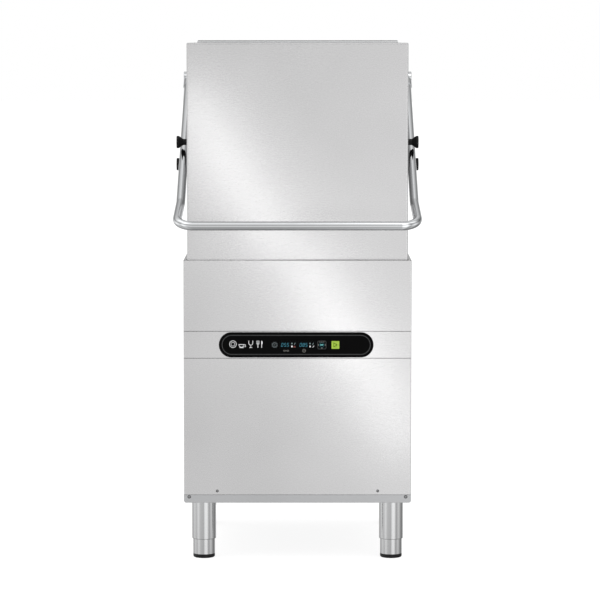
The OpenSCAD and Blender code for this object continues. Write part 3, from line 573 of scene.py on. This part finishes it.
def make_handle_hubs():
    """Turned hubs on the shaft, each with the socket its arm is welded into."""
    slope = math.radians(ARM_SLOPE)
    hub = [(HUB_BORE, 0), (HUB_R - 1.4, 0), (HUB_R - 0.4, 0.5), (HUB_R, 1.4), (HUB_R, HUB_W - 1.6),
           (HUB_R - 0.6, HUB_W - 0.6), (HUB_R - 1.6, HUB_W), (HUB_BORE, HUB_W)]
    inner = TUBE_R + 0.1
    socket = [(inner, SOCKET_START), (SOCKET_R - 0.6, SOCKET_START), (SOCKET_R, SOCKET_START + 0.6),
              (SOCKET_R, SOCKET_END - 1), (SOCKET_R - 0.6, SOCKET_END), (inner, SOCKET_END)]
    bm = bmesh.new()
    for sign in (-1, 1):
        lathe(bm, hub, mm(sign * HUB_X, pivot_depth, pivot_z), (sign, 0, 0), 64, closed=True)
        lathe(bm, socket, mm(sign * ARM_X, pivot_depth, pivot_z),
              (0, -math.cos(slope), -math.sin(slope)), 64, closed=True)
    finish_mesh("handle_hubs", bm, mats["handle_steel"], "handle")


make_handle_tube()
make_handle_hubs()


# ---------------------------------------------------------------- counterbalance springs

TURNS, WIRE_R, STEPS = 18, 3.0, 20  # turns of each spring, wire radius, points per turn


def make_springs():
    """Two wire helixes in place of the CAD springs; both ends stay put."""
    lo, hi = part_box("lift_springs")
    wire_r = WIRE_R * MM
    coil_r = (hi.y - lo.y) / 2 - wire_r
    x, y = hi.x - coil_r - wire_r, (lo.y + hi.y) / 2
    low, high = lo.z + wire_r, hi.z - wire_r
    count = TURNS * STEPS
    bm = bmesh.new()
    for sign in (-1, 1):
        coil = []
        for k in range(count + 1):
            a = 2 * math.pi * k / STEPS
            coil.append(Vector((sign * (x + coil_r * math.cos(a)), y + coil_r * math.sin(a),
                                low + (high - low) * k / count)))
        sweep(bm, coil, wire_r, 10)
    springs = finish_mesh("counterbalance_springs", bm, mats["spring_steel"], None,
                          ("lift_springs",))
    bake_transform(springs)


make_springs()


# ---------------------------------------------------------------- guide rollers

PIN_HOLE, NECK_R, FLANGE_R, RECESS_R, ROLLER_W = 5.3, 9.0, 18.0, 8.5, 38.6
# radius and distance from the hood of the neck, the flared cone, the flange and the recess for its bolt
ROLLER_PROFILE = [
    (PIN_HOLE, 0), (NECK_R - 0.6, 0), (NECK_R, 0.7), (NECK_R, 18.4), (9.4, 20.0), (10.6, 21.8),
    (16.2, 29.6), (17.4, 31.1), (FLANGE_R, 32.8), (FLANGE_R, 36.2), (17.5, 37.6), (16.4, 38.5),
    (9.2, ROLLER_W), (8.6, 38.2), (RECESS_R, 34.8), (PIN_HOLE, 34.8),
]

for side, sign in (("left", -1), ("right", 1)):
    for level in ("upper", "lower"):
        node, tag = f"roller_{side}_{level}", side[0] + level[0]
        lo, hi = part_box(node)
        neck_end = Vector((lo.x if sign > 0 else hi.x, (lo.y + hi.y) / 2, (lo.z + hi.z) / 2))
        bm = bmesh.new()
        lathe(bm, ROLLER_PROFILE, neck_end, (sign, 0, 0), 64, closed=True)
        finish_mesh(f"guide_roller_{tag}", bm, mats["black_plastic"], f"roller_{tag}",
                    (node,))


# ---------------------------------------------------------------- screws

FRONT_SCREWS = ((226, 201, 2.9), (305, 184.5, 3.8))  # x, z and head radius
REAR_SCREW_X, REAR_SCREW_ZS, REAR_SCREW_R, REAR_SCREW_H = 312, (210, 830), 4.5, 1.25
REAR_FACE = 738.7  # depth of the rear panel's outer face


def screw_head(bm, origin, along, r, h=1.8):
    """A low button head with a round driver recess."""
    lathe(bm, [(0, 0), (r, 0), (r, 0.25), (r * 0.93, h * 0.55), (r * 0.8, h * 0.9), (r * 0.65, h),
               (r * 0.55, h), (r * 0.5, h - 0.2), (r * 0.46, h * 0.3), (0, h * 0.2)], origin, along, 40)


def washer(bm, origin, r):
    """A thin dark ring round a front screw's head."""
    lathe(bm, [(r + 0.05, 0), (r + 1.0, 0), (r + 1.0, 0.35), (r + 0.8, 0.5), (r + 0.05, 0.5)],
          origin, (0, -1, 0), 40, closed=True)


heads, washers = bmesh.new(), bmesh.new()
for sign in (-1, 1):
    for x, z, r in FRONT_SCREWS:
        screw_head(heads, mm(sign * x, 0, z), (0, -1, 0), r)
        washer(washers, mm(sign * x, 0, z), r)
    for z in REAR_SCREW_ZS:
        screw_head(heads, mm(sign * REAR_SCREW_X, REAR_FACE, z), (0, 1, 0), REAR_SCREW_R, REAR_SCREW_H)
finish_mesh("screw_heads", heads, mats["fastener_steel"], "cabinet", ("panel_screws",))
finish_mesh("screw_washers", washers, mats["black_plastic"], "cabinet")


# ---------------------------------------------------------------- control panel


def face_depth(node):
    """Depth of a node's front face behind the panels, in millimetres."""
    return (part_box(node)[0].y - FRONT) / MM


def face_centre(node):
    """Where a node's centre lies across the machine and above the floor, in millimetres."""
    lo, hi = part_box(node)
    return (lo.x + hi.x) / 2 / MM, (lo.z + hi.z) / 2 / MM


PLATE_X, PLATE_Z = face_centre("control_plate")
PLATE_FACE, KEY_FACE = face_depth("control_plate"), face_depth("start_key")
WINDOW_FACE = face_depth("display_windows")
ROW_Z = 615.0  # height of the row of keys and readouts
DRAIN_X, POWER_X, START_X = -64, 68.5, 106.5  # centres of the keys
# front and back depth of the inlays on the plate, the keys and the windows
PLATE_INK = (PLATE_FACE - 0.12, PLATE_FACE + 0.1)
KEY_INK = (KEY_FACE - 0.1, KEY_FACE + 0.1)
KEY_PANEL = (KEY_FACE - 0.08, KEY_FACE + 0.1)
KEY_PANEL_INK = (KEY_FACE - 0.16, KEY_FACE + 0.1)
WINDOW_INK = (WINDOW_FACE - 0.1, WINDOW_FACE + 0.05)

eased("control_front", "control_plate", "cabinet", 0.5)
eased("drain_key_cap", "drain_key", "drain_button", 0.6)
eased("power_key_cap", "power_key", "power_button", 0.6)
eased("start_key_cap", "start_key", "start_button", 0.6, coat="key_grey")

inks = {
    "grey": glowing("ink_grey", (0.046, 0.047, 0.048), 0.0),
    "mid": glowing("ink_mid_grey", (0.15, 0.145, 0.135), 0.0),
    "teal": glowing("ink_teal", (0.14, 0.19, 0.19), 0.2),
    "white": glowing("ink_white", (0.70, 0.71, 0.72), 0.15),
    "dim": glowing("ink_dim", (0.055, 0.060, 0.062), 0.0),
    "lit_cyan": glowing("lit_cyan", (0.035, 0.150, 0.200), 0.65),
    "lit_teal": glowing("lit_teal", (0.10, 0.33, 0.34), 0.8),
    "lit_red": glowing("lit_red", (0.20, 0.07, 0.06), 0.3),
    "blue_grey": glowing("ink_blue_grey", (0.085, 0.100, 0.105), 0.1),
    "dark_green": glowing("ink_dark_green", (0.07, 0.15, 0.003), 0.0),
    "lit_ring": glowing("lit_ring", (0.012, 0.055, 0.065), 0.6),
}


def on_plate(name, shapes, ink):
    """Marks printed on the control plate."""
    print_piece(name, shapes, PLATE_INK, inks[ink], "cabinet")


def ring_mark(cx, cz, outer, inner, count=28):
    """A disc and its round hole."""
    return disc_loop(cx, cz, outer, count), disc_loop(cx, cz, inner, count)


def frame_mark(cx, cz, outer, inner, count):
    """A rounded rectangle and its hole, each given as width, height and corner radius."""
    return rounded_loop(cx, cz, *outer, count), rounded_loop(cx, cz, *inner, count)


on_plate("trim_ring", [frame_mark(PLATE_X, PLATE_Z, (418, 56, 27.9), (413.6, 51.6, 25.7), 16)], "grey")

# ---- readouts: seven-segment figures with small marks beside and below them

SEGMENTS = {"0": "abcdef", "5": "acdfg", "8": "abcdefg"}
FIGURE_W, FIGURE_H, FIGURE_LINE, FIGURE_SLANT, FIGURE_PITCH = 4.7, 9.6, 1.0, 0.16, 8.0
SEGMENT_GAP = 0.25
READOUTS = (("055", -42.7), ("085", 9.2))  # figures and the x of the first one


def digit(char, cx, cz):
    """Seven-segment strokes of one figure, pointed at both ends and leaning to the right."""
    x0, x1, z0, z1 = -FIGURE_W / 2, FIGURE_W / 2, -FIGURE_H / 2, FIGURE_H / 2
    ends = {"a": (x0, z1, x1, z1), "b": (x1, z1, x1, 0), "c": (x1, 0, x1, z0), "d": (x0, z0, x1, z0),
            "e": (x0, 0, x0, z0), "f": (x0, z1, x0, 0), "g": (x0, 0, x1, 0)}
    half = FIGURE_LINE / 2
    shapes = []
    for key in SEGMENTS[char]:
        ax, az, bx, bz = ends[key]
        dx, dz = bx - ax, bz - az
        n = math.hypot(dx, dz)
        ux, uz = dx / n, dz / n
        near, far = SEGMENT_GAP, n - SEGMENT_GAP
        pts = []
        for along, across in ((near, 0), (near + half, half), (far - half, half), (far, 0),
                              (far - half, -half), (near + half, -half)):
            px = ax + ux * along - uz * across
            pz = az + uz * along + ux * across
            pts.append((cx + px + pz * FIGURE_SLANT, cz + pz))
        shapes.append(pts)
    return shapes


figures = [shape for text, first_x in READOUTS for k, char in enumerate(text)
           for shape in digit(char, first_x + FIGURE_PITCH * k, ROW_Z)]
print_piece("readout_figures", figures, WINDOW_INK, inks["lit_cyan"], "cabinet")

on_plate("status_marks", [rounded_loop(x, 610.5, 4.1, 4.1, 0.6, 3) for x in (-15.6, 35.4)]
         + [stroke(42.6, 608.0, 46.6, 612.8, 1.3)], "white")
on_plate("status_marks_dim", [rounded_loop(x, 618.9, 3.7, 3.7, 0.6, 3) for x in (-15.6, 35.2)]
         + [stroke(-9.0, 615.4, -6.0, 620.8, 1.4), stroke(42.2, 615.4, 45.4, 620.8, 1.4)], "teal")
on_plate("warning_mark", [([(-12.2, 607.9), (-4.8, 607.9), (-8.5, 613.2)],
                           [(-10.2, 609.0), (-6.8, 609.0), (-8.5, 611.5)])], "lit_red")
link_frames = [frame_mark(x, 598.5, (6.0, 4.8, 2.2), (3.6, 2.6, 1.2), 6) for x in (-36.6, -27.2)]
on_plate("readout_pictograms", link_frames + [
    stroke(-33.8, 598.5, -30.0, 598.5, 1.2),
    ring_mark(18.4, 598.7, 5.0, 3.7),
    stroke(16.8, 596.4, 16.8, 601.0, 1.0),
    stroke(20.0, 596.4, 20.0, 601.0, 1.0),
], "mid")

# ---- a row of plain dish pictograms at the left end of the plate

DISH_X, CUP_X, GLASS_X, FORK_X, KNIFE_X = -181, -157, -131, -111, -100.4
MARK_TOP, MARK_LOW, LINE = 626.8, 606.8, 1.4

dish = [ring_mark(DISH_X, 617, 10.2, 8.9, 40), ring_mark(DISH_X, 617, 5.8, 4.9, 32)]
cup = [
    arc_band(CUP_X, 616, 7.4, 1.5, 180, 360),
    stroke(CUP_X - 8.1, 616.0, CUP_X + 8.1, 616.0, 1.5),
    arc_band(CUP_X + 8.6, 612.8, 3.2, 1.2, -100, 90),
    stroke(CUP_X - 6, 607.2, CUP_X + 6, 607.2, LINE),
]
glass = [
    arc_band(GLASS_X, 620, 5.6, LINE, 180, 360),
    stroke(GLASS_X - 5.6, 619.5, GLASS_X - 5.6, MARK_TOP, LINE),
    stroke(GLASS_X + 5.6, 619.5, GLASS_X + 5.6, MARK_TOP, LINE),
    stroke(GLASS_X, 614.8, GLASS_X, 608, LINE),
    stroke(GLASS_X - 4.2, 607.6, GLASS_X + 4.2, 607.6, LINE),
]
fork = [stroke(FORK_X, MARK_LOW, FORK_X, 617, 1.7), stroke(FORK_X - 3, 617.4, FORK_X + 3, 617.4, LINE)]
fork += [stroke(FORK_X + x, 617.4, FORK_X + x, MARK_TOP, 1.2) for x in (-3, 0, 3)]
knife = [
    stroke(KNIFE_X, MARK_LOW, KNIFE_X, 616, 1.7),
    [(KNIFE_X + x, z) for x, z in ((-1.0, 616.2), (1.8, 616.2), (2.6, 621), (2.0, 625), (-1.0, 627))],
]
on_plate("dish_pictograms", dish + cup + glass + fork + knife, "white")

# ---- marks on the keys

DRAIN_RINGS, DRAIN_RING_R = 8, 6.4

drain_marks = [ring_mark(DRAIN_X, ROW_Z, 1.9, 0.9, 20)]
for k in range(DRAIN_RINGS):
    a = 2 * math.pi * (k + 0.5) / DRAIN_RINGS
    dx, dz = DRAIN_RING_R * math.cos(a), DRAIN_RING_R * math.sin(a)
    drain_marks.append(ring_mark(DRAIN_X + dx, ROW_Z + dz, 2.3, 1.2, 20))
print_piece("drain_key_mark", drain_marks, KEY_INK, inks["blue_grey"], "drain_button")

POWER_DOTS = ((-5.4, 1.8), (0, 2.4), (5.4, 1.8))  # x from the key's centre and width
power_dots = [rounded_loop(POWER_X + x, ROW_Z + 8.2, w, 3.2, 0.7, 4) for x, w in POWER_DOTS]
power_dots.append(rounded_loop(POWER_X, ROW_Z - 9, 3.4, 2.6, 0.9, 4))
power_dots += [stroke(POWER_X + x, ROW_Z - 2.6, POWER_X + x, ROW_Z + 2.6, 1.6) for x in (-9.7, 9.7)]
power_lamp = [ring_mark(POWER_X + x, ROW_Z + 0.2, 2.0, 0.9, 20) for x in (-2.1, 2.1)]
for name, shapes, ink in (
    ("power_key_frame", [frame_mark(POWER_X, ROW_Z, (24.6, 23.6, 4.4), (22.4, 21.4, 3.4), 8)], "dim"),
    ("power_key_dots", power_dots, "mid"),
    ("power_key_ring", [ring_mark(POWER_X, ROW_Z, 7.0, 6.0, 36)], "lit_ring"),
    ("power_key_lamp", power_lamp, "lit_teal"),
):
    print_piece(name, shapes, KEY_INK, inks[ink], "power_button")

START_SIDE = 21.8
outer_tri = [(START_X - 5.5, ROW_Z - 7.2), (START_X + 6.3, ROW_Z), (START_X - 5.5, ROW_Z + 7.2)]
inner_tri = [(START_X - 3.5, ROW_Z - 3.7), (START_X + 2.5, ROW_Z), (START_X - 3.5, ROW_Z + 3.7)]
print_piece("start_key_face", [rounded_loop(START_X, ROW_Z, START_SIDE, START_SIDE, 1.2, 5)], KEY_PANEL,
            mats["key_green"], "start_button")
print_piece("start_key_mark", [(outer_tri, inner_tri)], KEY_PANEL_INK,
            inks["dark_green"], "start_button")


# ---------------------------------------------------------------- studio

# camera: place in metres, downward tilt in degrees, vertical shift and focal length
CAM_X, CAM_DISTANCE, CAM_HEIGHT, CAM_TILT = 0.0071, 8.0894, 1.4696, 4.4331
SHIFT, LENS = -0.06, 173.825

WORLD_POWER = 4.0
FLOOR_SIZE, FLOOR_GREY, FLOOR_GLOW = 60, 0.30, 0.86
# brightness of the studio at the sine of each height angle
HEIGHT_BANDS = (
    (-1.0, .24), (-0.7, .30), (-0.42, .32), (-0.24, .40), (-0.12, .66), (-0.055, .572), (0.0, .54),
    (0.17, .50), (0.25, .36), (0.33, .22), (0.46, .28), (0.62, .48), (0.76, .62), (0.88, .86),
    (0.96, .60), (1.0, .40),
)
# brightness at each angle round the machine: 0 is its front, and positive angles are towards +X
TURN_ZONES = (
    (-180, .34), (-165, .32), (-152, .36), (-138, .36), (-120, .50), (-100, .66), (-84, .56),
    (-74, .52), (-62, .70), (-54, .75), (-46, .66), (-35, .53), (-20, .50), (0, .47), (7, .82),
    (20, .90), (32, .88), (42, .56), (52, .36), (64, .50), (75, .60), (88, .50), (104, .30),
    (118, .18), (135, .24), (152, .32), (165, .32), (180, .34),
)

STREAK_POWER, STREAK_WIDTH, CARD_GAP = 9.6, 0.08, 1.1
STREAKS = (  # x and z on the panels where each reflection starts and ends, and its strength
    ((-0.325, 1.330), (-0.052, 0.880), 0.92),
    ((0.006, 0.880), (0.148, 0.560), 0.90),
    ((0.175, 0.600), (0.320, 0.330), 0.78),
)
STREAK_SHEETS = ("hood_shell", "upper_panel_sheet", "control_strip_sheet", "lower_panel_sheet")


def make_world():
    """White to the camera; for light and reflections, a studio of upright bright and dark zones."""
    world = bpy.data.worlds.new("studio")
    scene.world = world
    world.use_nodes = True
    tree = world.node_tree
    tree.nodes.clear()
    add = tree.nodes.new

    def math_node(op, a=None, b=None):
        node = add("ShaderNodeMath")
        node.operation = op
        for k, value in enumerate((a, b)):
            if isinstance(value, (int, float)):
                node.inputs[k].default_value = value
            elif value is not None:
                tree.links.new(value, node.inputs[k])
        return node.outputs[0]

    def ramp(value, stops):
        node = add("ShaderNodeValToRGB")
        node.color_ramp.interpolation = "EASE"
        tree.links.new(value, node.inputs["Fac"])
        ramp_stops = node.color_ramp.elements
        while len(ramp_stops) < len(stops):
            ramp_stops.new(0.5)
        for element, (place, level) in zip(ramp_stops, stops):
            element.position = place
            element.color = (level, level, level, 1)
        return node.outputs["Color"]

    def background(strength, color=None):
        node = add("ShaderNodeBackground")
        node.inputs["Strength"].default_value = strength
        if color:
            tree.links.new(color, node.inputs["Color"])
        else:
            node.inputs["Color"].default_value = (1, 1, 1, 1)
        return node.outputs[0]

    where = add("ShaderNodeTexCoord")
    parts = add("ShaderNodeSeparateXYZ")
    tree.links.new(where.outputs["Generated"], parts.inputs[0])
    x, y, z = parts.outputs
    turn = math_node("DIVIDE", math_node("ARCTAN2", x, math_node("MULTIPLY", y, -1.0)), 2 * math.pi)
    around = ramp(math_node("ADD", turn, 0.5), [((a + 180) / 360, level) for a, level in TURN_ZONES])
    height = ramp(math_node("ADD", math_node("MULTIPLY", z, 0.5), 0.5),
                  [((h + 1) / 2, level) for h, level in HEIGHT_BANDS])
    level = add("ShaderNodeMix")
    level.data_type = "RGBA"
    level.blend_type = "MULTIPLY"
    level.inputs["Factor"].default_value = 1.0
    tree.links.new(around, level.inputs["A"])
    tree.links.new(height, level.inputs["B"])
    mix = add("ShaderNodeMixShader")
    tree.links.new(add("ShaderNodeLightPath").outputs["Is Camera Ray"], mix.inputs["Fac"])
    tree.links.new(background(WORLD_POWER, level.outputs["Result"]), mix.inputs[1])
    tree.links.new(background(1.0), mix.inputs[2])
    tree.links.new(mix.outputs[0], add("ShaderNodeOutputWorld").inputs["Surface"])


def make_floor():
    """A wide pale floor that shows only a faint shadow under the machine."""
    bm = bmesh.new()
    bmesh.ops.create_grid(bm, x_segments=1, y_segments=1, size=FLOOR_SIZE)
    mesh = bpy.data.meshes.new("studio_floor")
    bm.to_mesh(mesh)
    bm.free()
    floor = bpy.data.objects.new("studio_floor", mesh)
    scene.collection.objects.link(floor)
    mat, tree, shader = new_material("floor_white")
    patch = noise(tree, coords(tree), 2.0, 2)
    tree.links.new(two_tone(tree, patch, (FLOOR_GREY,) * 3, (FLOOR_GREY + 0.01,) * 3),
                   shader.inputs["Base Color"])
    shader.inputs["Roughness"].default_value = 0.9
    shader.inputs["Specular IOR Level"].default_value = 0.0
    shader.inputs["Emission Color"].default_value = (1, 1, 1, 1)
    shader.inputs["Emission Strength"].default_value = FLOOR_GLOW
    mesh.materials.append(mat)
    floor.visible_glossy = False


def make_lights():
    """Soft strip lights in front of the machine that only the flat sheets catch."""
    far = CARD_GAP / CAM_DISTANCE
    sheets = bpy.data.collections.new("streak_sheets")
    for name in STREAK_SHEETS:
        sheets.objects.link(bpy.data.objects[name])
    for k, (first, last, strength) in enumerate(STREAKS):
        (xa, za), (xb, zb) = [(x * (1 + far), z + (z - CAM_HEIGHT) * far) for x, z in (first, last)]
        length = math.hypot(xb - xa, zb - za)
        data = bpy.data.lights.new(f"streak_{k}", "AREA")
        data.shape = "RECTANGLE"
        data.size = STREAK_WIDTH
        data.size_y = length
        data.energy = strength * STREAK_POWER * STREAK_WIDTH * length
        lamp = bpy.data.objects.new(f"streak_{k}", data)
        scene.collection.objects.link(lamp)
        up = Vector((xa - xb, 0, za - zb)).normalized()
        face = Vector((0, -1, 0))
        turn = Matrix((up.cross(face).normalized(), up, face)).transposed().to_4x4()
        lamp.matrix_world = Matrix.Translation(((xa + xb) / 2, FRONT - CARD_GAP, (za + zb) / 2)) @ turn
        lamp.visible_diffuse = False
        lamp.visible_camera = False
        lamp.light_linking.receiver_collection = sheets


def make_camera():
    """A long lens far in front, as high as the hood's top and tilted a little down."""
    data = bpy.data.cameras.new("camera")
    data.lens = LENS
    data.sensor_width = 36
    data.shift_y = SHIFT
    camera = bpy.data.objects.new("camera", data)
    scene.collection.objects.link(camera)
    camera.location = (CAM_X, FRONT - CAM_DISTANCE, CAM_HEIGHT)
    camera.rotation_euler = (math.radians(90 - CAM_TILT), 0, 0)
    scene.camera = camera


make_world()
make_floor()
make_lights()
make_camera()
scene.view_settings.view_transform = "Standard"
scene.view_settings.look = "None"
